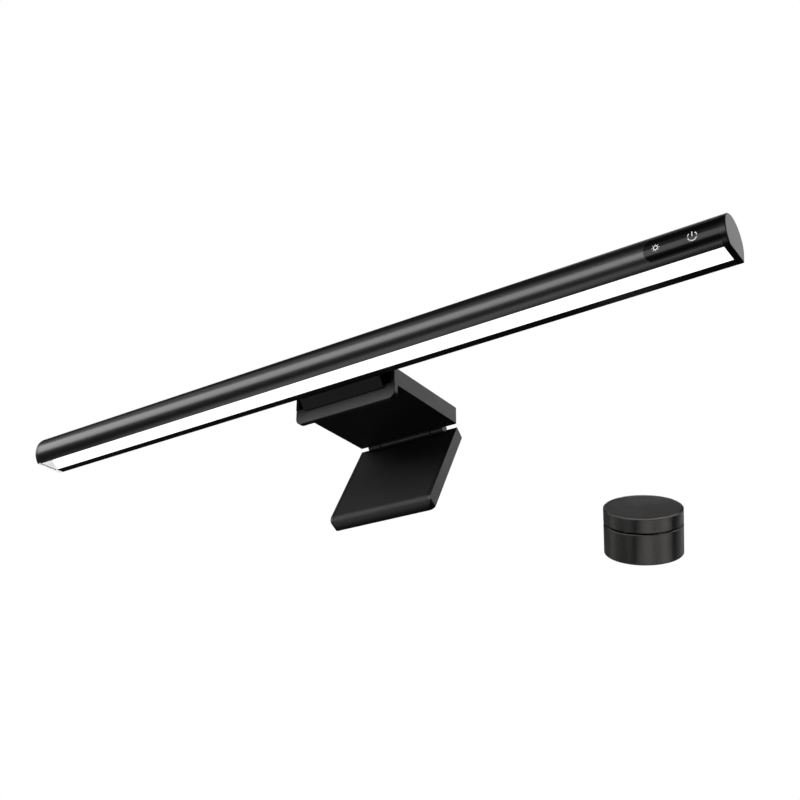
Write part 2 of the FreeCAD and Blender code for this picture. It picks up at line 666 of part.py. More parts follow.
def clip_base():
    """Floor of the clip, with the lip that hooks over the monitor's front."""
    inner_x = CLIP_INNER - FIT
    floor = box(-inner_x, inner_x, LIP_BACK - OVER, CLIP_BACK - CLIP_WALL - FIT, 0, CLIP_FLOOR)
    shape = fuse([lip_shape(), floor])
    shape = shape.cut(box(-PAD_HALF_X, PAD_HALF_X, -PAD_HALF_Y, PAD_HALF_Y, -OVER, PAD_THICK))
    for x, y in CLIP_SCREWS:
        shape = shape.cut(disc_z(x, y, SCREW_HEAD_R + FIT, 0, CLIP_FLOOR - LOOSE))
        shape = shape.cut(disc_z(x, y, SCREW_R + FIT, 0, CLIP_FLOOR + OVER))
    half = HINGE_HALF + KNUCKLE_GAP
    arm_front, arm_top = HINGE_ARM
    shape = shape.cut(hinge_room(-half, half, KNUCKLE_GAP))
    return shape.cut(box(-half, half, arm_front - LOOSE, CLIP_BACK, -OVER, arm_top))


def top_pad():
    """Rubber pad that rests on the monitor's top edge."""
    return box(-PAD_HALF_X, PAD_HALF_X, -PAD_HALF_Y, PAD_HALF_Y, 0, PAD_THICK)


def lip_pad():
    """Rubber pad behind the lip."""
    return box(-LIP_PAD_HALF, LIP_PAD_HALF, LIP_BACK, LIP_BACK + PAD_THICK, *LIP_PAD_Z)


def clip_screws():
    """Flat-head screws under the pad that join the clip's two halves."""
    seat = CLIP_FLOOR - LOOSE
    return Part.makeCompound([fuse([disc_z(x, y, SCREW_HEAD_R, PAD_THICK, seat),
                                    disc_z(x, y, SCREW_SHANK_R, seat, seat + CLIP_SCREW_LENGTH)])
                              for x, y in CLIP_SCREWS])


# ---- Flap --------------------------------------------------------------------------------

def rounded_end(shape, s_end, edge_radius):
    """Rounds the flap's lower end: its inner edge in profile, and both lower corners in plan."""
    keep = flap_prism(list(FLAP_TOP) + [(s_end, FLAP_THICK), (s_end, 0)], -CLIP_HALF, CLIP_HALF)
    middle = flap_point(0, 0, 0)
    bottom = [edge for edge in keep.Edges
              if abs((edge.CenterOfMass - middle).dot(FLAP_DOWN) - s_end) < SAME
              and edge.BoundBox.XLength < SAME]
    keep = keep.makeFillet(FLAP_CORNER, bottom)
    corner = flap_prism([(s_end - edge_radius, -OVER), (s_end + OVER, -OVER),
                         (s_end + OVER, edge_radius), (s_end - edge_radius, edge_radius)],
                        -CLIP_HALF - OVER, CLIP_HALF + OVER)
    corner = corner.cut(flap_rod(s_end - edge_radius, edge_radius, edge_radius, CLIP_HALF + 2 * OVER))
    return shape.common(keep).cut(corner)


def flap_shell():
    """Outer shell of the flap, with side walls, a pocket for the weight and its hinge barrel."""
    body = flap_prism(list(FLAP_TOP) + [(FLAP_LENGTH, FLAP_THICK), (FLAP_LENGTH, 0)], -CLIP_HALF, CLIP_HALF)
    past = FLAP_LENGTH + FAR
    face_room = flap_slab(PAD_START - LOOSE, past, -OVER, FLAP_PAD, FLAP_INNER)
    nose_room = flap_slab(NOSE_START, past, 0, FAR, FLAP_INNER)
    body = rounded_end(body, FLAP_LENGTH, FLAP_EDGE).cut(face_room).cut(nose_room)
    body = body.cut(flap_slab(PLATE[0] - FIT, PLATE[1] + FIT, 0, FLAP_PAD + PLATE_THICK, PLATE_HALF + FIT))
    body = body.cut(flap_slab(WEIGHT[0] - LOOSE, WEIGHT[1] + LOOSE, 0, WEIGHT_T[1] + LOOSE, WEIGHT_HALF + LOOSE))
    for x, s in FLAP_SCREWS:
        body = body.cut(flap_pin(x, s, 0, FLAP_SCREW_END + LOOSE, SCREW_R))
    reach = HINGE_HALF + KNUCKLE_GAP
    body = body.cut(hinge_room(-reach, reach, KNUCKLE_GAP))
    barrel_half = KNUCKLE_SPLIT - KNUCKLE_GAP
    body = fuse([body, hinge_room(-barrel_half, barrel_half, 0), flap_prism(LINK, -barrel_half, barrel_half)])
    body = body.cut(rod_x(HINGE_Y, HINGE_Z, SPRING_ROOM_R, -SPRING_HALF, SPRING_HALF))
    return body.cut(rod_x(HINGE_Y, HINGE_Z, HINGE_PIN + RUNNING, -HINGE_HALF, HINGE_HALF))


def flap_plate():
    """Inner plate that closes the weight's pocket, under the pad."""
    plate = flap_slab(*PLATE, FLAP_PAD, FLAP_PAD + PLATE_THICK, PLATE_HALF)
    for x, s in FLAP_SCREWS:
        plate = plate.cut(flap_pin(x, s, 0, FLAP_THICK, SCREW_R + FIT))
        plate = plate.cut(flap_pin(x, s, 0, FLAP_PAD + FLAP_SCREW_HEAD, SCREW_HEAD_R + FIT))
    return plate


def flap_pad():
    """Rubber face of the flap with the round nose below it."""
    inner_x = FLAP_INNER - LOOSE
    face = flap_slab(PAD_START, NOSE_START + LOOSE, 0, FLAP_PAD, inner_x)
    nose = flap_slab(NOSE_START + LOOSE, NOSE_END, 0, FLAP_THICK, inner_x)
    reach = HINGE_HALF + KNUCKLE_GAP
    return rounded_end(fuse([face, nose]), NOSE_END, NOSE_EDGE).cut(hinge_room(-reach, reach, KNUCKLE_GAP))


def flap_weight():
    """Steel weight in the flap."""
    return flap_slab(*WEIGHT, *WEIGHT_T, WEIGHT_HALF)


def flap_screws():
    """Flat-head screws that hold the inner plate."""
    head_end = FLAP_PAD + FLAP_SCREW_HEAD
    return Part.makeCompound([fuse([flap_pin(x, s, FLAP_PAD + PRESSED, head_end, SCREW_HEAD_R),
                                    flap_pin(x, s, head_end, FLAP_SCREW_END, SCREW_SHANK_R)])
                              for x, s in FLAP_SCREWS])


def hinge_pin():
    """Steel pin through the flap's and the clip's knuckles."""
    half = HINGE_HALF - OVER - LOOSE
    return rod_x(HINGE_Y, HINGE_Z, HINGE_PIN, -half, half)


def torsion_spring():
    """The hinge spring inside the flap's barrel, as close turns of wire about the pin."""
    turns = int(2 * (SPRING_HALF - SPRING_WIRE) / SPRING_PITCH)
    first = -(turns - 1) * SPRING_PITCH / 2
    return Part.makeCompound([Part.makeTorus(HINGE_PIN + SPRING_GAP + SPRING_WIRE, SPRING_WIRE,
                                             Vec(first + i * SPRING_PITCH, HINGE_Y, HINGE_Z), Vec(1, 0, 0))
                              for i in range(turns)])


# ---- Dial --------------------------------------------------------------------------------

def dial_base():
    """Turned outer shell, open below, with a ledge for the board and posts for the screws."""
    shell = disc_z(0, 0, DIAL_RADIUS, BASE_BOTTOM, DIAL_SPLIT)
    shell = shell.cut(disc_z(0, 0, DIAL_INNER, 0, DIAL_SPLIT - DIAL_ROOF))
    shell = shell.cut(disc_z(0, 0, BASE_BORE, 0, DIAL_SPLIT + OVER))
    ledge = ring_z(DIAL_INNER + LOOSE, LEDGE_R, *LEDGE_Z)
    posts = [disc_z(x, y, POST_R, POST_BOTTOM, LEDGE_Z[1]) for x, y in DIAL_SCREWS]
    shell = fuse([shell, ledge] + posts)
    for x, y in DIAL_SCREWS:
        shell = shell.cut(disc_z(x, y, DIAL_SCREW_R, 0, LEDGE_Z[0]))
    return shell


def dial_bottom():
    """Bottom cover, screwed on under the foot ring."""
    door = disc_z(0, 0, DIAL_INNER - LOOSE, BASE_BOTTOM, DOOR_TOP)
    door = door.cut(ring_z(FOOT_R[0] + LOOSE, FOOT_R[1] - LOOSE, 0, FOOT_HEIGHT))
    for x, y in DIAL_SCREWS:
        door = door.cut(disc_z(x, y, DIAL_SCREW_R + LOOSE, 0, DOOR_TOP + OVER))
        door = door.cut(disc_z(x, y, DIAL_SCREW_HEAD_R + FIT, 0, DIAL_SCREW_Z[1]))
    return door


def dial_screws():
    """Screws of the bottom cover."""
    low, seat, tip = DIAL_SCREW_Z
    return Part.makeCompound([fuse([disc_z(x, y, DIAL_SCREW_HEAD_R, low, seat),
                                    disc_z(x, y, DIAL_SCREW_R - PRESSED, seat, tip)])
                              for x, y in DIAL_SCREWS])


def dial_foot():
    """Rubber ring that the dial stands on."""
    return ring_z(*FOOT_R, 0, FOOT_HEIGHT)


def coin_cell():
    """20 mm coin cell."""
    return disc_z(0, 0, CELL_R, *CELL_Z)


def cell_contacts():
    """Spring strips under and over the cell."""
    low, high = CELL_Z
    strip = (-CONTACT_WIDE, CONTACT_WIDE, -CONTACT_HALF, CONTACT_HALF)
    lower = box(*strip, low - FIT - CONTACT_THICK, low - FIT)
    upper = box(*strip, high + FIT, high + FIT + CONTACT_THICK)
    return Part.makeCompound([lower, upper])


def dial_board():
    """Round board above the cell."""
    return disc_z(0, 0, DIAL_INNER - BOARD_ROOM, *DIAL_BOARD_Z)


def encoder_body():
    """Rotary and push encoder's case and bush."""
    case = box(-ENCODER_HALF, ENCODER_HALF, -ENCODER_HALF, ENCODER_HALF, DIAL_BOARD_Z[1], ENCODER_TOP)
    bush = disc_z(0, 0, ENCODER_NECK_R, ENCODER_TOP, DIAL_SPLIT - LOOSE)
    return fuse([case, bush]).cut(disc_z(0, 0, STEM_R + RUNNING, STEM_Z[0] - STEM_ROOM, FAR))


def encoder_stem():
    """The encoder's shaft, which goes down as the cap is pressed."""
    return disc_z(0, 0, STEM_R, *STEM_Z)


def radio_chip():
    """The dial's radio chip."""
    x0, x1, y0, y1, height = RADIO_CHIP
    return box(x0, x1, y0, y1, DIAL_BOARD_Z[1], DIAL_BOARD_Z[1] + height)


def dial_cap():
    """Turned cap on the encoder's shaft."""
    cap = disc_z(0, 0, DIAL_RADIUS, CAP_BOTTOM, DIAL_HEIGHT)
    top_edge = [e for e in cap.Edges if abs(e.BoundBox.ZMin - DIAL_HEIGHT) < SAME]
    cap = cap.makeChamfer(DIAL_CHAMFER, top_edge)
    cap = cap.cut(ring_z(DIAL_RADIUS - CAP_WALL, CAP_HUB, 0, DIAL_HEIGHT - CAP_ROOF))
    relief_r, relief_depth = CAP_RELIEF
    cap = cap.cut(disc_z(0, 0, relief_r, CAP_BOTTOM - OVER, CAP_BOTTOM + relief_depth))
    return cap.cut(disc_z(0, 0, STEM_R + PRESSED, 0, STEM_Z[1] + FIT))


# ---- Build -------------------------------------------------------------------------------

BAR_PIECES = {
    "bar_housing": bar_housing,
    "diffuser": diffuser,
    "led_board": led_board,
    "led_chips": led_chips,
    "reflector": reflector,
    "touch_panel": touch_panel,
    "touch_film": touch_film,
    "driver_board": driver_board,
    "driver_chips": driver_chips,
    "power_coil": power_coil,
    "capacitors": capacitors,
    "radio_module": radio_module,
    "usb_socket": usb_socket,
    "usb_tongue": usb_tongue,
    "led_wires": led_wires,
    "backing_plate": backing_plate,
}

CLIP_PIECES = {
    "neck": neck,
    "neck_screws": neck_screws,
    "pivot_shaft": pivot_shaft,
    "friction_washers": friction_washers,
    "pivot_bushes": pivot_bushes,
    "clip_cover": clip_cover,
    "clip_base": clip_base,
    "top_pad": top_pad,
    "lip_pad": lip_pad,
    "clip_screws": clip_screws,
    "flap_shell": flap_shell,
    "flap_plate": flap_plate,
    "flap_pad": flap_pad,
    "flap_weight": flap_weight,
    "flap_screws": flap_screws,
    "hinge_pin": hinge_pin,
    "torsion_spring": torsion_spring,
}

DIAL_PIECES = {
    "dial_base": dial_base,
    "dial_bottom": dial_bottom,
    "dial_foot": dial_foot,
    "dial_screws": dial_screws,
    "coin_cell": coin_cell,
    "cell_contacts": cell_contacts,
    "dial_board": dial_board,
    "encoder_body": encoder_body,
    "encoder_stem": encoder_stem,
    "radio_chip": radio_chip,
    "dial_cap": dial_cap,
}

os.makedirs("parts", exist_ok=True)
for name, make in BAR_PIECES.items():
    save(name, to_bar(make()))
for name, side in (("end_cap_left", -1), ("end_cap_right", 1)):
    save(name, to_bar(end_cap(side)))
for name, make in CLIP_PIECES.items():
    save(name, make())
for name, make in DIAL_PIECES.items():
    save(name, to_dial(make()))
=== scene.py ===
"""Looks of the monitor light bar: its finishes, fine shapes and studio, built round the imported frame."""

import json
import logging
import math
from dataclasses import dataclass, replace
from enum import Enum
from typing import Callable, Optional, Sequence, Union

import bmesh
import bpy
from mathutils import Matrix, Vector

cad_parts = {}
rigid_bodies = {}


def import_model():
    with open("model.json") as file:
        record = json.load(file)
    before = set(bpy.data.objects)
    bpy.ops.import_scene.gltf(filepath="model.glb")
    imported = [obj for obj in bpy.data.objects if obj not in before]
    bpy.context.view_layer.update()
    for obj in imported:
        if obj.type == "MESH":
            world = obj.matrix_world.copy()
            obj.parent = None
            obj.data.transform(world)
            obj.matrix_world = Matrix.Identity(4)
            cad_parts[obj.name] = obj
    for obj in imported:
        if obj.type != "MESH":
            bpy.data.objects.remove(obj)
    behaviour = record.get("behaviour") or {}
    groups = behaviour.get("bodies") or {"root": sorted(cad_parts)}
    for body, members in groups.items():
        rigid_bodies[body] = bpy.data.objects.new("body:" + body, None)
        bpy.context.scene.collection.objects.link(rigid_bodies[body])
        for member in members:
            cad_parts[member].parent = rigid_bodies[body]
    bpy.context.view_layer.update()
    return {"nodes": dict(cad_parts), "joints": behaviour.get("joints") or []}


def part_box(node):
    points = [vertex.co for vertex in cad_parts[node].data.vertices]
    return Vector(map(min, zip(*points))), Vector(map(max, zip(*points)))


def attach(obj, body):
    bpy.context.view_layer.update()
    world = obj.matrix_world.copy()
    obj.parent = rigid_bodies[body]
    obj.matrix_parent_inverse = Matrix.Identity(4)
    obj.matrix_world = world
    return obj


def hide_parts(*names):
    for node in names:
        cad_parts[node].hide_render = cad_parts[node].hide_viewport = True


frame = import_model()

MM = 0.001
LOG = logging.getLogger("light_bar")
WELD = 0.002             # corners nearer than this are one, in millimetres
SHARP = math.radians(30.0)
FLAT = math.radians(0.4) # faces that meet at less than this are one
CLOUD_DETAIL = 4.0       # octaves of the clouds of tone
MARK_DETAIL = 3.0        # octaves of the tool marks
SMUDGE_DETAIL = 5.0      # octaves of the smudges
SMUDGE_SIZE = 0.6        # a smudge's size beside a cloud's

Number = Union[float, "Wire"]
Point = Sequence[float]


# ---- Shader building ---------------------------------------------------------------------

class Wire:
    """A shader output that takes part in sums and products."""

    def __init__(self, tree: "ShaderTree", socket: bpy.types.NodeSocket) -> None:
        """Wraps a socket of a tree."""
        self.tree = tree
        self.socket = socket

    def _math(self, operation: str, first: Number, second: Number) -> "Wire":
        """A Math node on two numbers or wires."""
        return self.tree.node("Math", {"operation": operation}, {0: first, 1: second})

    def __add__(self, other: Number) -> "Wire":
        """The sum."""
        return self._math("ADD", self, other)

    __radd__ = __add__

    def __sub__(self, other: Number) -> "Wire":
        """The difference."""
        return self._math("SUBTRACT", self, other)

    def __rsub__(self, other: Number) -> "Wire":
        """The difference, from a number."""
        return self._math("SUBTRACT", other, self)

    def __mul__(self, other: Number) -> "Wire":
        """The product."""
        return self._math("MULTIPLY", self, other)

    __rmul__ = __mul__

    def __pow__(self, other: Number) -> "Wire":
        """The power."""
        return self._math("POWER", self, other)

    def sine(self) -> "Wire":
        """The sine."""
        return self._math("SINE", self, 0.0)


class ShaderTree:
    """A material's nodes, with one Principled shader at their end."""

    def __init__(self, name: str) -> None:
        """Starts a material with the given name."""
        self.material = bpy.data.materials.new(name)
        self.material.use_nodes = True
        self.tree = self.material.node_tree
        self.tree.nodes.clear()
        self.shader = self.tree.nodes.new("ShaderNodeBsdfPrincipled")
        output = self.tree.nodes.new("ShaderNodeOutputMaterial")
        self.tree.links.new(self.shader.outputs[0], output.inputs["Surface"])

    def put(self, socket: bpy.types.NodeSocket, value: object) -> None:
        """Links a wire to a socket, or sets the socket's own value."""
        if isinstance(value, Wire):
            self.tree.links.new(value.socket, socket)
        else:
            socket.default_value = value

    def node(self, kind: str, settings: dict, inputs: dict, output: Union[int, str] = 0) -> Wire:
        """Adds a node.

        Args:
            kind: the node's type, without the ShaderNode prefix.
            settings: the node's own properties, set first.
            inputs: values or wires of its sockets, by name or number.
            output: which output to return.

        Returns:
            The output as a wire.
        """
        made = self.tree.nodes.new("ShaderNode" + kind)
        for key, value in settings.items():
            setattr(made, key, value)
        for key, value in inputs.items():
            self.put(made.inputs[key], value)
        return Wire(self, made.outputs[output])

    def coordinates(self, spread: Point = (1.0, 1.0, 1.0), into: Optional[Matrix] = None) -> Wire:
        """Object coordinates in millimetres.

        Args:
            spread: how much each axis is stretched before a pattern reads it.
            into: a placement in metres; the coordinates are then those of its own axes.

        Returns:
            The coordinates as a vector wire.
        """
        place = self.node("TexCoord", {}, {}, "Object")
        if into is not None:
            inverse = into.inverted()
            place = self.node("Mapping", {"vector_type": "POINT"},
                              {"Vector": place, "Rotation": inverse.to_euler(),
                               "Location": inverse.translation})
        scale = [value / MM for value in spread]
        return self.node("Mapping", {"vector_type": "POINT"}, {"Vector": place, "Scale": scale})

    def noise(self, where: Wire, size: float, detail: float = 2.0) -> Wire:
        """Noise from 0 to 1 whose patches are about size millimetres."""
        return self.node("TexNoise", {}, {"Vector": where, "Scale": 1.0 / size, "Detail": detail})

    def bump(self, height: Wire, depth: float, under: Optional[Wire] = None) -> Wire:
        """A normal bent by a height from 0 to 1.

        Args:
            height: the height's wire.
            depth: its full depth in millimetres.
            under: another bump's normal that this one is added to.

        Returns:
            The normal as a wire.
        """
        inputs = {"Height": height, "Distance": depth * MM, "Strength": 1.0}
        if under is not None:
            inputs["Normal"] = under
        return self.node("Bump", {}, inputs)

    def tint(self, factor: Wire, dark: Point, light: Point) -> Wire:
        """A colour between two, by a factor from 0 to 1."""
        return self.node("Mix", {"data_type": "RGBA"}, {0: factor, 6: (*dark, 1.0), 7: (*light, 1.0)}, 2)


# ---- Finishes ----------------------------------------------------------------------------

class Lay(Enum):
    """The way that fine tool marks run: how far each axis is stretched."""

    NONE = (1.0, 1.0, 1.0)
    ALONG_X = (0.01, 1.0, 1.0)
    ALONG_Y = (1.0, 0.01, 1.0)


@dataclass(frozen=True)
class Finish:
    """A surface with clouds of tone, a fine grain and drawn tool marks.

    Sizes are in millimetres. Depths are the full height of the grain and of the marks.
    """

    name: str
    color: tuple[float, float, float]
    roughness: float
    metallic: float = 0.0
    specular: float = 0.5
    tone: float = 0.15
    cloud: float = 18.0
    gloss_change: float = 0.06
    grain: float = 0.3
    grain_depth: float = 0.004
    lay: Lay = Lay.NONE
    mark: float = 0.25
    mark_depth: float = 0.0

    def colors(self, tree: ShaderTree) -> Wire:
        """The base colour with its clouds of tone."""
        clouds = tree.noise(tree.coordinates(), self.cloud, CLOUD_DETAIL)
        dark = [value * (1.0 - self.tone) for value in self.color]
        light = [min(1.0, value * (1.0 + self.tone)) for value in self.color]
        return tree.tint(clouds, dark, light)

    def normal(self, tree: ShaderTree) -> Wire:
        """The grain, and the tool marks where there are any."""
        normal = tree.bump(tree.noise(tree.coordinates(), self.grain), self.grain_depth)
        if self.mark_depth > 0.0:
            marks = tree.noise(tree.coordinates(self.lay.value), self.mark, MARK_DETAIL)
            normal = tree.bump(marks, self.mark_depth, normal)
        return normal

    def gloss(self, tree: ShaderTree) -> Wire:
        """The roughness, with soft smudges."""
        smudge = tree.noise(tree.coordinates(), self.cloud * SMUDGE_SIZE, SMUDGE_DETAIL)
        return self.roughness + (smudge - 0.5) * (2.0 * self.gloss_change)

    def made(self) -> bpy.types.Material:
        """The finish's material, which all its pieces share."""
        return bpy.data.materials.get(self.name) or self.material()

    def material(self) -> bpy.types.Material:
        """The finish as a new material."""
        tree = ShaderTree(self.name)
        sockets = tree.shader.inputs
        tree.put(sockets["Base Color"], self.colors(tree))
        tree.put(sockets["Roughness"], self.gloss(tree))
        tree.put(sockets["Normal"], self.normal(tree))
        tree.put(sockets["Metallic"], self.metallic)
        tree.put(sockets["Specular IOR Level"], self.specular)
        return tree.material


@dataclass(frozen=True)
class LitFinish(Finish):
    """An opal surface that glows."""

    glow: float = 1.0

    def material(self) -> bpy.types.Material:
        """The finish as a material."""
        made = super().material()
        shader = next(n for n in made.node_tree.nodes if n.type == "BSDF_PRINCIPLED")
        shader.inputs["Emission Color"].default_value = (1.0, 1.0, 1.0, 1.0)
        shader.inputs["Emission Strength"].default_value = self.glow
        return made


@dataclass(frozen=True)
class TurnedFinish(Finish):
    """Metal turned about an axis, with fine rings round its sides and over its ends."""

    ring_pitch: float = 0.22
    side_depth: float = 0.003
    face_depth: float = 0.034
    waver: float = 3.0
    placed: Optional[Matrix] = None

    def normal(self, tree: ShaderTree) -> Wire:
        """Rings of uneven depth over the grain."""
        place = tree.coordinates(into=self.placed)
        height = tree.node("SeparateXYZ", {}, {"Vector": place}, "Z")
        east = Wire(tree, height.socket.node.outputs["X"])
        north = Wire(tree, height.socket.node.outputs["Y"])
        reach = (east * east + north * north) ** 0.5
        turns = 2.0 * math.pi / self.ring_pitch
        uneven = tree.noise(place, self.cloud) * self.waver
        normal = tree.bump(tree.noise(tree.coordinates(), self.grain), self.grain_depth)
        normal = tree.bump((height * turns + uneven).sine() * 0.5 + 0.5, self.side_depth, normal)
        return tree.bump((reach * turns + uneven).sine() * 0.5 + 0.5, self.face_depth, normal)


@dataclass(frozen=True)
class FacedFinish(Finish):
    """A gloss side with a satin end face past a place along X."""

    face: float = 0.0
    face_color: tuple[float, float, float] = (0.02, 0.02, 0.02)
    face_roughness: float = 0.4
    change: float = 8.0

    def mask(self, tree: ShaderTree) -> Wire:
        """1 on the end face and 0 on the side."""
        along = tree.node("SeparateXYZ", {}, {"Vector": tree.coordinates()}, "X")
        return tree.node("Math", {"operation": "MULTIPLY", "use_clamp": True},
                         {0: along - self.face, 1: self.change})

    def colors(self, tree: ShaderTree) -> Wire:
        """The side's clouds of tone, and the end face's colour."""
        side = super().colors(tree)
        return tree.node("Mix", {"data_type": "RGBA"},
                         {0: self.mask(tree), 6: side, 7: (*self.face_color, 1.0)}, 2)

    def gloss(self, tree: ShaderTree) -> Wire:
        """The side's roughness, and the end face's."""
        side = super().gloss(tree)
        return side + (self.face_roughness - side) * self.mask(tree)


BLACK_TUBE = Finish("black_anodised_tube", (0.006, 0.006, 0.006), 0.28, specular=0.9, gloss_change=0.02,
                    grain=0.16, grain_depth=0.003, lay=Lay.ALONG_X, mark=0.3, mark_depth=0.0012)
CAP_GLOSS = FacedFinish("gloss_cap_with_satin_face", (0.003, 0.003, 0.003), 0.24, specular=0.34,
                        grain_depth=0.0004, face=224.6, face_color=(0.022, 0.022, 0.021), face_roughness=0.36)
CAP_PLASTIC = Finish("satin_cap_plastic", (0.020, 0.020, 0.020), 0.30, grain_depth=0.002)
CLIP_PLASTIC = Finish("fine_moulded_plastic", (0.012, 0.012, 0.012), 0.40, grain=0.35, grain_depth=0.010)
NECK_PLASTIC = Finish("matt_neck_plastic", (0.010, 0.010, 0.010), 0.46, specular=0.22, grain=0.35,
                      grain_depth=0.010)
PANEL = Finish("gloss_touch_panel", (0.003, 0.003, 0.003), 0.18, specular=0.28, grain_depth=0.0002,
               gloss_change=0.03)
OPAL = LitFinish("lit_opal_diffuser", (0.9, 0.9, 0.88), 0.5, glow=1.2)
WHITE_FILM = Finish("white_reflector_film", (0.85, 0.85, 0.83), 0.45)
RUBBER = Finish("matt_silicone_rubber", (0.008, 0.008, 0.008), 0.55, grain=0.25, grain_depth=0.012)
STEEL = Finish("zinc_plated_steel", (0.42, 0.42, 0.42), 0.32, metallic=1.0, lay=Lay.ALONG_X,
               mark_depth=0.003)
BLACK_STEEL = Finish("black_oxide_steel", (0.05, 0.05, 0.05), 0.36, metallic=0.8)
BUSH_STEEL = Finish("turned_black_bush", (0.06, 0.06, 0.06), 0.34, metallic=0.9, lay=Lay.ALONG_Y,
                    mark_depth=0.003)
GREEN_BOARD = Finish("green_circuit_board", (0.02, 0.14, 0.06), 0.35, grain=1.2, grain_depth=0.02)
AMBER_FILM = Finish("amber_sensor_film", (0.35, 0.20, 0.06), 0.30)
CHIP = Finish("moulded_chip_package", (0.02, 0.02, 0.02), 0.50)
LED = Finish("phosphor_window", (0.85, 0.72, 0.25), 0.30)
WHITE_BOARD = Finish("white_lamp_board", (0.85, 0.85, 0.83), 0.40)
NYLON = Finish("filled_nylon", (0.03, 0.03, 0.03), 0.45)
WIRE_SLEEVE = Finish("red_wire_sleeve", (0.50, 0.03, 0.02), 0.45)
DIAL_METAL = TurnedFinish("turned_black_dial", (0.085, 0.083, 0.080), 0.20, metallic=1.0, gloss_change=0.02,
                          grain_depth=0.0005)
MARK_INK = LitFinish("lit_key_mark", (0.80, 0.80, 0.80), 0.45, grain=0.2, grain_depth=0.001, glow=0.25)
GILT = Finish("gilded_contact", (0.80, 0.58, 0.22), 0.22, metallic=1.0, lay=Lay.ALONG_Y, mark_depth=0.001)

NODE_FINISHES = (
    (BLACK_TUBE, ("bar_housing",)),
    (NECK_PLASTIC, ("neck",)),
    (CLIP_PLASTIC, ("clip_cover", "clip_base", "flap_shell", "dial_bottom")),
    (CAP_PLASTIC, ("end_cap_left", "end_cap_right")),
    (PANEL, ("touch_panel",)),
    (OPAL, ("diffuser",)),
    (WHITE_FILM, ("reflector",)),
    (RUBBER, ("top_pad", "lip_pad", "flap_pad", "dial_foot")),
    (STEEL, ("backing_plate", "pivot_shaft", "flap_plate", "flap_weight", "usb_socket", "coin_cell",
             "cell_contacts", "encoder_body", "capacitors")),
    (BLACK_STEEL, ("neck_screws", "clip_screws", "flap_screws", "dial_screws", "hinge_pin",
                   "torsion_spring")),
    (BUSH_STEEL, ("pivot_bushes",)),
    (GREEN_BOARD, ("driver_board", "radio_module", "dial_board")),
    (AMBER_FILM, ("touch_film",)),
    (CHIP, ("driver_chips", "power_coil", "radio_chip", "usb_tongue")),
    (LED, ("led_chips",)),
    (WHITE_BOARD, ("led_board",)),
    (NYLON, ("friction_washers", "encoder_stem")),
    (WIRE_SLEEVE, ("led_wires",)),
    (DIAL_METAL, ("dial_base", "dial_cap")),
)


def dress_nodes() -> None:
    """Gives every node of the frame its finish."""
    for finish, names in NODE_FINISHES:
        material = finish.made()
        for name in names:
            mesh = frame["nodes"][name].data
            mesh.materials.clear()
            mesh.materials.append(material)
            LOG.info("dressed %s in %s", name, finish.name)


# ---- Mesh building -----------------------------------------------------------------------

class Across(Enum):
    """The axis that a prism runs along, with its outline's plane."""

    X = (1, 2, 0)
    Z = (0, 1, 2)


def arc(centre: Point, radius: float, start: float, end: float, steps: int) -> list[tuple[float, float]]:
    """Points of an arc.

    Args:
        centre: its centre, in the outline's plane.
        radius: its radius.
        start: first angle in degrees.
        end: last angle in degrees.
        steps: how many chords it has.

    Returns:
        The points, both ends included.
    """
    turns = [math.radians(start + (end - start) * i / steps) for i in range(steps + 1)]
    return [(centre[0] + radius * math.cos(t), centre[1] + radius * math.sin(t)) for t in turns]


def joint(name: str) -> dict:
    """A joint of the frame."""
    return next(row for row in frame["joints"] if row["name"] == name)


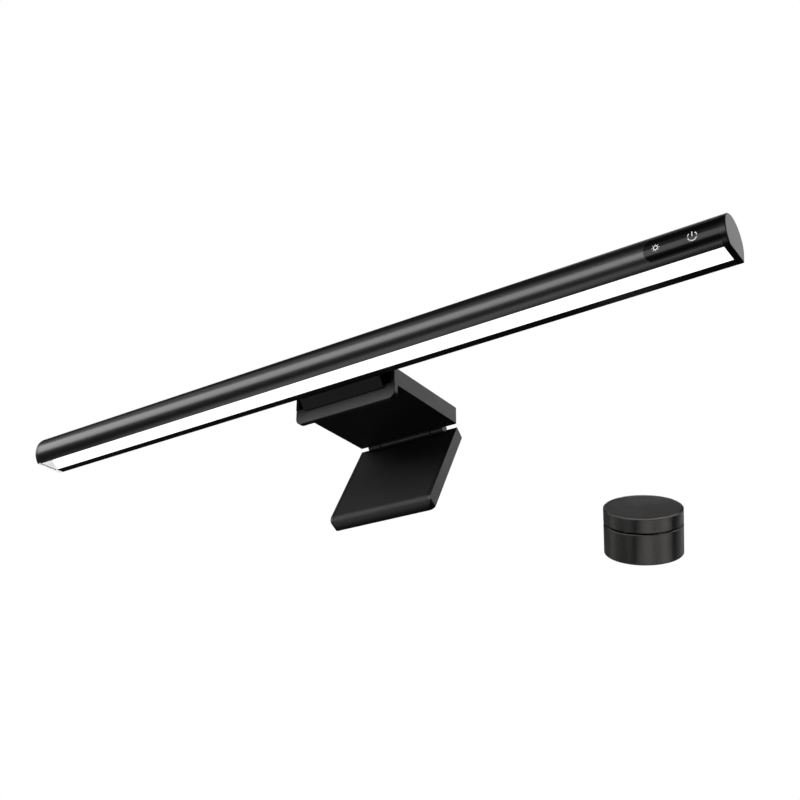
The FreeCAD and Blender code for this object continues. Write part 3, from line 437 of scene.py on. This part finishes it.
class Clay:
    """A shape in the making, in millimetres."""

    def __init__(self) -> None:
        """Starts with nothing."""
        self.mesh = bmesh.new()

    def close(self) -> None:
        """Fills open ends, joins doubled corners and turns every face outwards."""
        bmesh.ops.remove_doubles(self.mesh, verts=self.mesh.verts, dist=WELD)
        open_edges = [edge for edge in self.mesh.edges if edge.is_boundary]
        if open_edges:
            bmesh.ops.holes_fill(self.mesh, edges=open_edges, sides=0)
        bmesh.ops.recalc_face_normals(self.mesh, faces=self.mesh.faces)

    def block(self, low: Point, high: Point) -> "Clay":
        """Adds a box between two corners."""
        middle = (Vector(low) + Vector(high)) / 2
        size = Vector(high) - Vector(low)
        bmesh.ops.create_cube(self.mesh, size=1.0, matrix=Matrix.LocRotScale(middle, None, size))
        return self

    def prism(self, outline: Sequence[Point], start: float, end: float, across: Across = Across.X) -> "Clay":
        """Adds a prism.

        Args:
            outline: corners in the plane across its axis.
            start: where it starts along its axis.
            end: where it ends.
            across: the axis that it runs along.

        Returns:
            The clay itself.
        """
        first, second, along = across.value
        corners = []
        for pair in outline:
            place = [0.0, 0.0, 0.0]
            place[first], place[second] = pair
            place[along] = start
            corners.append(self.mesh.verts.new(place))
        face = self.mesh.faces.new(corners)
        made = bmesh.ops.extrude_face_region(self.mesh, geom=[face], use_keep_orig=True)["geom"]
        way = [0.0, 0.0, 0.0]
        way[along] = end - start
        bmesh.ops.translate(self.mesh, vec=way, verts=[v for v in made if isinstance(v, bmesh.types.BMVert)])
        self.close()
        return self

    def lathe(self, profile: Sequence[Point], steps: int = 128) -> "Clay":
        """Adds a turned shape about Z.

        Args:
            profile: corners as (radius, height); a ring's profile ends where it starts.
            steps: how many chords a turn has.

        Returns:
            The clay itself.
        """
        line = [self.mesh.verts.new((radius, 0.0, height)) for radius, height in profile]
        edges = [self.mesh.edges.new(pair) for pair in zip(line, line[1:])]
        bmesh.ops.spin(self.mesh, geom=line + edges, cent=(0, 0, 0), axis=(0, 0, 1),
                       angle=2.0 * math.pi, steps=steps, use_merge=True)
        self.close()
        return self

    def copy(self, node: str) -> "Clay":
        """Adds a copy of a frame node's shape, with its flat faces made whole."""
        self.mesh.from_mesh(frame["nodes"][node].data)
        bmesh.ops.scale(self.mesh, vec=(1 / MM,) * 3, verts=self.mesh.verts)
        bmesh.ops.remove_doubles(self.mesh, verts=self.mesh.verts, dist=WELD)
        bmesh.ops.dissolve_limit(self.mesh, angle_limit=FLAT, verts=self.mesh.verts,
                                 edges=self.mesh.edges)
        return self

    def soften(self, width: float, segments: int = 3,
               where: Optional[Callable[[bmesh.types.BMEdge], bool]] = None) -> "Clay":
        """Rounds its sharp edges.

        Args:
            width: how far the rounding reaches from each edge.
            segments: how many strips it has.
            where: picks the edges; all sharp ones where it is left out.

        Returns:
            The clay itself.
        """
        sharp = [edge for edge in self.mesh.edges
                 if edge.is_manifold and edge.calc_face_angle() > SHARP and (where is None or where(edge))]
        bmesh.ops.bevel(self.mesh, geom=sharp, offset=width, offset_type="OFFSET", segments=segments,
                        profile=0.5, affect="EDGES", clamp_overlap=True, material=-1)
        return self

    def move(self, place: Matrix) -> "Clay":
        """Places everything made so far."""
        bmesh.ops.transform(self.mesh, matrix=place, verts=self.mesh.verts)
        return self

    def join(self, other: "Clay") -> "Clay":
        """Adds another clay's shape."""
        spare = bpy.data.meshes.new("spare")
        other.mesh.to_mesh(spare)
        self.mesh.from_mesh(spare)
        bpy.data.meshes.remove(spare)
        return self

    def bake(self, name: str, material: bpy.types.Material) -> bpy.types.Object:
        """Makes the shape an object in metres with smooth shading between its sharp edges."""
        bmesh.ops.scale(self.mesh, vec=(MM,) * 3, verts=self.mesh.verts)
        mesh = bpy.data.meshes.new(name)
        self.mesh.to_mesh(mesh)
        self.mesh.free()
        mesh.materials.append(material)
        mesh.shade_smooth()
        mesh.set_sharp_from_angle(angle=SHARP)
        made = bpy.data.objects.new(name, mesh)
        bpy.context.scene.collection.objects.link(made)
        weigh = made.modifiers.new("even_shading", "WEIGHTED_NORMAL")
        weigh.keep_sharp = True
        return made


@dataclass(frozen=True)
class Station:
    """Where a piece belongs in the frame: its body, material slot and the nodes it stands for."""

    body: str
    slot: str
    nodes: tuple[str, ...] = ()

    def take(self, name: str, clay: Clay, finish: "Finish") -> bpy.types.Object:
        """Makes a piece of a clay, dresses it, hangs it on its body and hides the nodes that it stands for.

        Args:
            name: the piece's name.
            clay: its shape in millimetres.
            finish: its finish.

        Returns:
            The piece.
        """
        made = clay.bake(name, finish.made())
        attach(made, self.body)
        if self.nodes:
            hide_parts(*self.nodes)
        LOG.info("%s: %d faces, rides on %s", name, len(made.data.polygons), self.body)
        return made


# ---- Lamp bar ----------------------------------------------------------------------------

@dataclass
class LampBar:
    """The bar's end caps, the marks of its touch keys and the contacts of its power inlet.

    Sizes are in millimetres and angles in degrees. A mark's place is its X and its angle up the front.
    """

    radius: float = 11.5
    flat: float = 7.85
    back: float = 9.5
    cap: float = 3.0
    cap_edge: float = 0.55
    plug: float = 6.0
    plug_radius: float = 9.9
    plug_wall: float = 1.5
    plug_floor: float = 2.3
    web: float = 1.2
    web_line: tuple[float, float] = (-7.75, 4.45)
    web_centre: tuple[float, float] = (-183.4, 22.7)
    web_radius: float = 41.24
    web_angles: tuple[float, float] = (-132.4, -153.8)
    mark: float = 0.48
    ink: float = 0.012
    bends: int = 3
    sun_place: tuple[float, float] = (192.9, 1.4)
    sun_radius: float = 1.0
    sun_ray: tuple[float, float] = (1.5, 1.95)
    sun_rays: int = 8
    power_place: tuple[float, float] = (209.9, 0.6)
    power_radius: float = 2.1
    power_open: tuple[float, float] = (128.0, 412.0)
    power_bar: tuple[float, float] = (0.1, 2.4)
    contact_count: int = 12
    contact_share: float = 0.28
    contact_ends: tuple[float, float] = (3.2, 0.3)
    contact_high: float = 0.04

    def __post_init__(self) -> None:
        """Reads the tube's axis and ends from its box."""
        low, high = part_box("bar_housing")
        self.axis = Vector((0.0, low[1] / MM + self.radius, low[2] / MM + self.flat))
        self.tube_end = high[0] / MM

    def outline(self) -> list[tuple[float, float]]:
        """The tube's section about its axis: a circle cut flat below, with a straight back edge."""
        reach = math.hypot(self.flat, self.back)
        tangent = math.degrees(math.atan2(-self.flat, self.back) + math.acos(self.radius / reach))
        front = 180.0 + math.degrees(math.asin(self.flat / self.radius))
        return arc((0, 0), self.radius, tangent, front, 72) + [(self.back, -self.flat)]

    def arch(self) -> list[tuple[float, float]]:
        """The section of a cap's plug, a half-round wall."""
        foot = math.degrees(math.asin(self.plug_floor / self.plug_radius))
        inner = self.plug_radius - self.plug_wall
        inner_foot = math.degrees(math.asin(self.plug_floor / inner))
        outside = arc((0, 0), self.plug_radius, foot, 180.0 - foot, 36)
        return outside + arc((0, 0), inner, 180.0 - inner_foot, inner_foot, 36)

    def cap_shape(self) -> Clay:
        """The right cap, about the bar's axis."""
        outer = self.tube_end + self.cap
        plate = Clay().prism(self.outline(), self.tube_end, outer)
        plate.soften(self.cap_edge, 4, lambda edge: all(abs(v.co.x - outer) < WELD for v in edge.verts))
        return plate.join(Clay().prism(self.arch(), self.tube_end - self.plug, self.tube_end))

    def left_web(self) -> Clay:
        """The left cap's web, whose curved edge closes the light opening."""
        inner, outer = self.web_line
        end = -self.tube_end - self.cap / 3
        curve = arc(self.web_centre, self.web_radius, self.web_angles[0], self.web_angles[1], 20)
        return Clay().prism(curve + [(end, outer), (end, inner)], -self.flat, -self.flat + self.web, Across.Z)

    def caps(self) -> bpy.types.Object:
        """Makes both end caps, and returns the left one."""
        right = self.cap_shape().move(Matrix.Translation(self.axis))
        Station("bar", "cap_plastic", ("end_cap_right",)).take("end_cap_right_moulding", right, CAP_GLOSS)
        left = self.cap_shape().move(Matrix.Scale(-1.0, 4, (1, 0, 0)))
        left.close()
        left.join(self.left_web()).move(Matrix.Translation(self.axis))
        station = Station("bar", "cap_plastic", ("end_cap_left",))
        return station.take("end_cap_left_moulding", left, CAP_PLASTIC)

    def wrap(self, clay: Clay, x: float, angle: float) -> Clay:
        """Bends a flat drawing (x, y) round the tube's front.

        Args:
            clay: the drawing, in the XY plane, Y up.
            x: its place along the bar.
            angle: its height up the front in degrees.

        Returns:
            The bent drawing.
        """
        for vert in clay.mesh.verts:
            turn = math.radians(angle) + vert.co.y / self.radius
            reach = self.radius + vert.co.z
            vert.co = self.axis + Vector((x + vert.co.x, -reach * math.cos(turn), reach * math.sin(turn)))
        return clay

    def stroke(self, outline: Sequence[Point]) -> Clay:
        """A drawn line's ink, as a thin plate."""
        return Clay().prism(outline, -self.ink, self.ink, Across.Z)

    def ray(self, angle: float, start: float, end: float, wide: float) -> Clay:
        """A straight stroke that points away from the middle, in short lengths that can bend."""
        half = wide / 2
        line = self.stroke([(start, -half), (end, -half), (end, half), (start, half)])
        bmesh.ops.subdivide_edges(line.mesh, edges=line.mesh.edges, cuts=self.bends, use_grid_fill=True)
        return line.move(Matrix.Rotation(math.radians(angle), 4, "Z"))

    def ring(self, radius: float, start: float, end: float, wide: float) -> Clay:
        """A round stroke between two angles."""
        half = wide / 2
        outline = arc((0, 0), radius + half, start, end, 40) + arc((0, 0), radius - half, end, start, 40)
        return self.stroke(outline)

    def marks(self) -> None:
        """Makes the marks of the brightness key and the power key."""
        sun = self.ring(self.sun_radius, 0.0, 180.0, self.mark)
        sun.join(self.ring(self.sun_radius, 180.0, 360.0, self.mark))
        for i in range(self.sun_rays):
            sun.join(self.ray(360.0 / self.sun_rays * i, *self.sun_ray, self.mark / 2))
        sun = self.wrap(sun, *self.sun_place)
        Station("bar", "panel_gloss").take("brightness_mark", sun, MARK_INK)
        power = self.ring(self.power_radius, *self.power_open, self.mark)
        power.join(self.ray(90.0, *self.power_bar, self.mark))
        power = self.wrap(power, *self.power_place)
        Station("bar", "panel_gloss").take("power_mark", power, MARK_INK)

    def contacts(self) -> None:
        """Makes the gilded contacts on the power inlet's tongue."""
        low, high = [Vector(corner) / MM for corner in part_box("usb_tongue")]
        clay = Clay()
        pitch = (high.x - low.x) / self.contact_count
        half = pitch * self.contact_share
        back, front = self.contact_ends
        for i in range(self.contact_count):
            x = low.x + pitch * (i + 0.5)
            for z in (low.z, high.z):
                clay.block((x - half, high.y - back, z - self.contact_high),
                           (x + half, high.y - front, z + self.contact_high))
        Station("bar", "plated_steel").take("usb_contacts", clay, GILT)

    def build(self) -> bpy.types.Object:
        """Makes every piece, and returns the left end cap."""
        left_cap = self.caps()
        self.marks()
        self.contacts()
        return left_cap


# ---- Clip and flap -----------------------------------------------------------------------

@dataclass
class MonitorClip:
    """The clip's and the flap's mouldings with their edges rounded, and their rubber pads.

    Sizes are in millimetres. Each moulding has its node, its body and its finish.
    """

    edge: float = 0.3
    pad_corner: float = 2.5
    mouldings: tuple[tuple[str, str, Finish], ...] = (
        ("clip_cover", "clip", CLIP_PLASTIC),
        ("clip_base", "clip", CLIP_PLASTIC),
        ("neck", "bar", NECK_PLASTIC),
        ("flap_shell", "flap", CLIP_PLASTIC),
    )

    def moulding(self, node: str, body: str, finish: Finish) -> None:
        """Makes one moulding from its node."""
        clay = Clay().copy(node).soften(self.edge, 3)
        Station(body, "clip_plastic", (node,)).take(node + "_moulding", clay, finish)

    def pad(self, node: str, body: str, corner: float) -> None:
        """Makes a rubber pad that fills its node's box, with round corners.

        Args:
            node: the pad's node.
            body: the body that it rides on.
            corner: the radius of its corners.
        """
        clay = Clay().copy(node)
        clay.soften(corner, 5, lambda edge: abs(edge.verts[0].co.z - edge.verts[1].co.z) > WELD)
        clay.soften(self.edge / 2, 2)
        Station(body, "pad_rubber", (node,)).take(node + "_moulding", clay, RUBBER)

    def build(self) -> None:
        """Makes every piece."""
        for row in self.mouldings:
            self.moulding(*row)
        self.pad("top_pad", "clip", self.pad_corner)
        nose = Clay().copy("flap_pad").soften(self.edge, 3)
        Station("flap", "pad_rubber", ("flap_pad",)).take("flap_pad_moulding", nose, RUBBER)


# ---- Dial --------------------------------------------------------------------------------

@dataclass
class Dial:
    """The loose dial: turned base and cap, foot ring, bottom cover and its screws.

    Sizes are in millimetres. Heights start at the foot ring's underside.
    """

    radius: float = 20.0
    height: float = 24.9
    split: float = 16.6
    gap: float = 0.9
    wall: float = 1.6
    roof: float = 1.5
    bottom: float = 0.8
    chamfer: float = 0.5
    edge: float = 0.3
    bore: float = 4.2
    cap_roof: float = 2.0
    hub: float = 5.5
    stem: float = 3.02
    stem_top: float = 21.55
    hub_lift: float = 0.6
    ledge: tuple[float, float, float] = (16.6, 6.2, 7.2)
    play: float = 0.1
    cap_soft: float = 0.12
    base_soft: float = 0.1
    foot_soft: float = 0.35
    foot: tuple[float, float, float] = (17.0, 14.0, 1.3)
    door_top: float = 2.4
    screw_circle: float = 15.5
    screw_head: float = 1.4
    screw_shank: float = 0.78
    screw_heights: tuple[float, float, float] = (1.32, 1.85, 5.5)
    screw_bevel: float = 0.2
    screw_face: float = 0.8
    screw_point: tuple[float, float] = (0.2, 0.5)
    screw_steps: int = 32
    screw_angles: tuple[float, float, float] = (90.0, 210.0, 330.0)

    def __post_init__(self) -> None:
        """Reads the dial's axis from its spin joint."""
        spin = joint("dial_spin")
        up = Vector(spin["axis"])
        turn = up.to_track_quat("Z", "Y").to_matrix().to_4x4()
        middle = Matrix.Translation(Vector(spin["pos_m"]))
        self.metres = middle @ turn @ Matrix.Translation((0, 0, -self.height * MM / 2))
        self.place = Matrix.Translation(Vector(spin["pos_m"]) / MM) @ turn
        self.place = self.place @ Matrix.Translation((0, 0, -self.height / 2))

    def turned(self, name: str, profile: Sequence[Point], edge: float, station: Station,
               finish: "Finish") -> bpy.types.Object:
        """Makes one turned piece.

        Args:
            name: the piece's name.
            profile: its section, as (radius, height) above the foot's underside.
            edge: how far its edges are rounded.
            station: where it belongs.
            finish: its finish.

        Returns:
            The piece.
        """
        clay = Clay().lathe(profile).soften(edge, 3).move(self.place)
        return station.take(name, clay, finish)

    def cap(self) -> bpy.types.Object:
        """The cap, hollow under its face, with a hub round the encoder's shaft."""
        low, top = self.split + self.gap, self.height
        inner = self.radius - self.wall
        under = top - self.cap_roof
        hub_low = low + self.hub_lift
        profile = [(0, top), (self.radius - self.chamfer, top), (self.radius, top - self.chamfer),
                   (self.radius, low), (inner, low), (inner, under), (self.hub, under), (self.hub, hub_low),
                   (self.stem, hub_low), (self.stem, self.stem_top), (0, self.stem_top)]
        station = Station("dial_cap", "dial_metal", ("dial_cap",))
        return self.turned("dial_cap_turning", profile, self.cap_soft, station,
                           replace(DIAL_METAL, placed=self.metres))

    def base(self) -> bpy.types.Object:
        """The base's shell, open below, with its ledge for the board."""
        inner = self.radius - self.wall
        under = self.split - self.roof
        reach, ledge_low, ledge_high = self.ledge
        profile = [(self.bore, self.split), (self.radius - self.edge, self.split),
                   (self.radius, self.split - self.edge), (self.radius, self.bottom + self.edge),
                   (self.radius - self.edge, self.bottom), (inner, self.bottom),
                   (inner, ledge_low), (reach, ledge_low), (reach, ledge_high), (inner, ledge_high),
                   (inner, under), (self.bore, under), (self.bore, self.split)]
        station = Station("dial_base", "dial_metal", ("dial_base",))
        return self.turned("dial_base_turning", profile, self.base_soft, station,
                           replace(DIAL_METAL, placed=self.metres))

    def foot_ring(self) -> bpy.types.Object:
        """The rubber foot ring."""
        outer, inner, high = self.foot
        profile = [(inner, 0), (outer, 0), (outer, high), (inner, high), (inner, 0)]
        station = Station("dial_base", "pad_rubber", ("dial_foot",))
        return self.turned("dial_foot_ring", profile, self.foot_soft, station, RUBBER)

    def door(self) -> bpy.types.Object:
        """The bottom cover, with the channel of the foot ring."""
        outer, inner, high = self.foot
        inside, outside = inner - self.play, outer + self.play
        rim = self.radius - self.wall - self.play
        profile = [(0, self.bottom), (inside, self.bottom), (inside, high), (outside, high),
                   (outside, self.bottom), (rim, self.bottom), (rim, self.door_top), (0, self.door_top)]
        station = Station("dial_base", "cap_plastic", ("dial_bottom",))
        return self.turned("dial_bottom_cover", profile, self.cap_soft, station, CLIP_PLASTIC)

    def screws(self) -> bpy.types.Object:
        """The bottom cover's screws, with chamfered heads and tips."""
        low, seat, tip = self.screw_heights
        point, point_length = self.screw_point
        face = self.screw_head * self.screw_face
        profile = [(0, low), (face, low), (self.screw_head, low + self.screw_bevel), (self.screw_head, seat),
                   (self.screw_shank, seat), (self.screw_shank, tip - point_length), (point, tip), (0, tip)]
        out = Matrix.Translation((self.screw_circle, 0, 0))
        clay = Clay()
        for angle in self.screw_angles:
            screw = Clay().lathe(profile, self.screw_steps)
            clay.join(screw.move(Matrix.Rotation(math.radians(angle), 4, "Z") @ out))
        clay.move(self.place)
        station = Station("dial_base", "screw_black", ("dial_screws",))
        return station.take("dial_cover_screws", clay, BLACK_STEEL)

    def build(self) -> list[bpy.types.Object]:
        """Makes every piece, and returns them."""
        return [self.base(), self.cap(), self.foot_ring(), self.door(), self.screws()]


# ---- Studio ------------------------------------------------------------------------------

@dataclass(frozen=True)
class Softbox:
    """A soft rectangular light that faces the object, sized in metres, with its power in watts."""

    name: str
    toward: tuple[float, float, float]
    distance: float
    wide: float
    tall: float
    power: float

    def hang(self, aim: Vector, only: Sequence[bpy.types.Object] = ()) -> None:
        """Hangs the light so that it faces a point.

        Args:
            aim: the point.
            only: the pieces that it lights; all of them where it is left out.
        """
        data = bpy.data.lights.new(self.name, "AREA")
        data.shape = "RECTANGLE"
        data.size = self.wide
        data.size_y = self.tall
        data.energy = self.power
        lamp = bpy.data.objects.new(self.name, data)
        bpy.context.scene.collection.objects.link(lamp)
        direction = Vector(self.toward).normalized()
        lamp.location = aim + direction * self.distance
        lamp.rotation_mode = "QUATERNION"
        lamp.rotation_quaternion = direction.to_track_quat("Z", "Y")
        lamp.visible_camera = False
        if only:
            lit = bpy.data.collections.new(self.name + "_pieces")
            for piece in only:
                lit.objects.link(piece)
            lamp.light_linking.receiver_collection = lit


@dataclass(frozen=True)
class Studio:
    """Camera, softboxes, pale floor and white backdrop.

    Places are in metres, angles in degrees and the lens in millimetres. The bar's boxes leave out the
    dial, which has boxes of its own.
    """

    eye: tuple[float, float, float] = (0.34311, -0.47228, -0.26697)
    yaw: float = 34.739
    pitch: float = 25.533
    roll: float = 0.486
    lens: float = 51.19
    floor_z: float = -0.45
    floor_half: float = 6.0
    fill: float = 0.02
    boxes: tuple[Softbox, ...] = (
        Softbox("front_box", (-0.53, -0.75, 0.40), 1.8, 3.4, 0.90, 29.0),
        Softbox("low_box", (-0.50, -0.66, -0.56), 0.5, 1.1, 0.18, 0.62),
    )
    bar_boxes: tuple[Softbox, ...] = (
        Softbox("front_upper_box", (-0.50, -0.52, 0.74), 1.8, 2.2, 0.75, 1.7),
        Softbox("top_box", (-0.02, 0.55, 0.80), 1.8, 1.1, 0.8, 1.4),
        Softbox("rear_box", (0.41, 0.77, 0.50), 1.8, 1.3, 1.0, 5.4),
        Softbox("left_rear_box", (-0.60, 0.70, 0.40), 1.8, 1.6, 0.8, 0.3),
        Softbox("right_front_box", (0.70, -0.66, 0.30), 1.8, 1.2, 1.0, 4.0),
    )
    cap_box: Softbox = Softbox("low_left_box", (-0.74, 0.57, -0.36), 1.0, 0.3, 0.3, 2.4)
    dial_boxes: tuple[Softbox, ...] = (
        Softbox("dial_right_box", (0.66, -0.12, -0.74), 0.28, 0.16, 0.22, 0.20),
        Softbox("dial_left_box", (-0.55, -0.45, -0.45), 0.28, 0.14, 0.22, 0.012),
        Softbox("dial_over_box", (-0.32, 0.19, 0.93), 0.6, 0.10, 0.10, 0.55),
        Softbox("dial_back_box", (-0.20, 0.79, 0.58), 0.6, 0.10, 0.10, 0.55),
        Softbox("dial_top_box", (-0.165, 0.522, 0.838), 0.6, 0.4, 0.4, 0.05),
        Softbox("dial_rim_left_box", (-0.48, -0.52, 0.71), 0.5, 0.30, 0.20, 1.0),
        Softbox("dial_rim_right_box", (0.79, 0.02, 0.62), 0.5, 0.30, 0.20, 1.0),
        Softbox("dial_right_rear_box", (0.26, 0.95, 0.15), 0.6, 0.32, 0.25, 0.10),
        Softbox("dial_left_rear_box", (-0.85, 0.48, 0.23), 0.6, 0.20, 0.25, 0.04),
    )

    def camera(self) -> None:
        """The camera, looking up at the bar from its right."""
        data = bpy.data.cameras.new("camera")
        data.lens = self.lens
        data.sensor_width = 36.0
        data.clip_start = 0.01
        made = bpy.data.objects.new("camera", data)
        bpy.context.scene.collection.objects.link(made)
        turn = Matrix.Rotation(math.radians(self.yaw), 4, "Z")
        lift = Matrix.Rotation(math.radians(90.0 + self.pitch), 4, "X")
        lean = Matrix.Rotation(math.radians(self.roll), 4, "Z")
        made.matrix_world = Matrix.Translation(self.eye) @ turn @ lift @ lean
        bpy.context.scene.camera = made

    def floor(self) -> None:
        """The pale floor."""
        shape = bmesh.new()
        bmesh.ops.create_grid(shape, x_segments=1, y_segments=1, size=self.floor_half)
        bmesh.ops.translate(shape, verts=shape.verts, vec=(0.0, 0.0, self.floor_z))
        mesh = bpy.data.meshes.new("floor")
        shape.to_mesh(mesh)
        shape.free()
        ground = bpy.data.objects.new("floor", mesh)
        bpy.context.scene.collection.objects.link(ground)
        pale = LitFinish("pale_floor", (0.25, 0.25, 0.25), 0.7, tone=0.01, cloud=300.0, glow=0.78)
        mesh.materials.append(pale.material())
        ground.visible_glossy = False
        ground.visible_diffuse = False

    def backdrop(self) -> None:
        """A white backdrop whose own light on the object is dim."""
        world = bpy.data.worlds.new("backdrop")
        bpy.context.scene.world = world
        world.use_nodes = True
        tree = world.node_tree
        tree.nodes.clear()
        path = tree.nodes.new("ShaderNodeLightPath")
        seen = tree.nodes.new("ShaderNodeBackground")
        seen.inputs["Strength"].default_value = 1.0
        seen.inputs["Color"].default_value = (1.0, 1.0, 1.0, 1.0)
        dim = tree.nodes.new("ShaderNodeBackground")
        dim.inputs["Strength"].default_value = self.fill
        dim.inputs["Color"].default_value = (1.0, 1.0, 1.0, 1.0)
        mix = tree.nodes.new("ShaderNodeMixShader")
        output = tree.nodes.new("ShaderNodeOutputWorld")
        tree.links.new(path.outputs["Is Camera Ray"], mix.inputs["Fac"])
        tree.links.new(dim.outputs[0], mix.inputs[1])
        tree.links.new(seen.outputs[0], mix.inputs[2])
        tree.links.new(mix.outputs[0], output.inputs["Surface"])

    def build(self, cap_pieces: Sequence[bpy.types.Object], dial_pieces: Sequence[bpy.types.Object]) -> None:
        """Sets up the studio.

        Args:
            cap_pieces: the left end cap, whose underside has a softbox of its own.
            dial_pieces: the dial's turned pieces, which have softboxes of their own.
        """
        self.camera()
        self.floor()
        self.backdrop()
        middle = Vector((0.0, -0.03, 0.0))
        others = [made for made in bpy.context.scene.objects
                  if made.type == "MESH" and made not in dial_pieces]
        for box in self.boxes:
            box.hang(middle)
        for box in self.bar_boxes:
            box.hang(middle, others)
        self.cap_box.hang(Vector((-0.2, -0.04, 0.0)), cap_pieces)
        for box in self.dial_boxes:
            box.hang(Vector(joint("dial_spin")["pos_m"]), dial_pieces)
        settings = bpy.context.scene.view_settings
        settings.view_transform = "Standard"
        settings.look = "None"


def main() -> None:
    """Builds the object's looks and the studio."""
    logging.basicConfig(level=logging.INFO, format="%(name)s: %(message)s")
    dress_nodes()
    left_cap = LampBar().build()
    MonitorClip().build()
    Studio().build([left_cap], Dial().build())


if __name__ == "__main__":
    main()
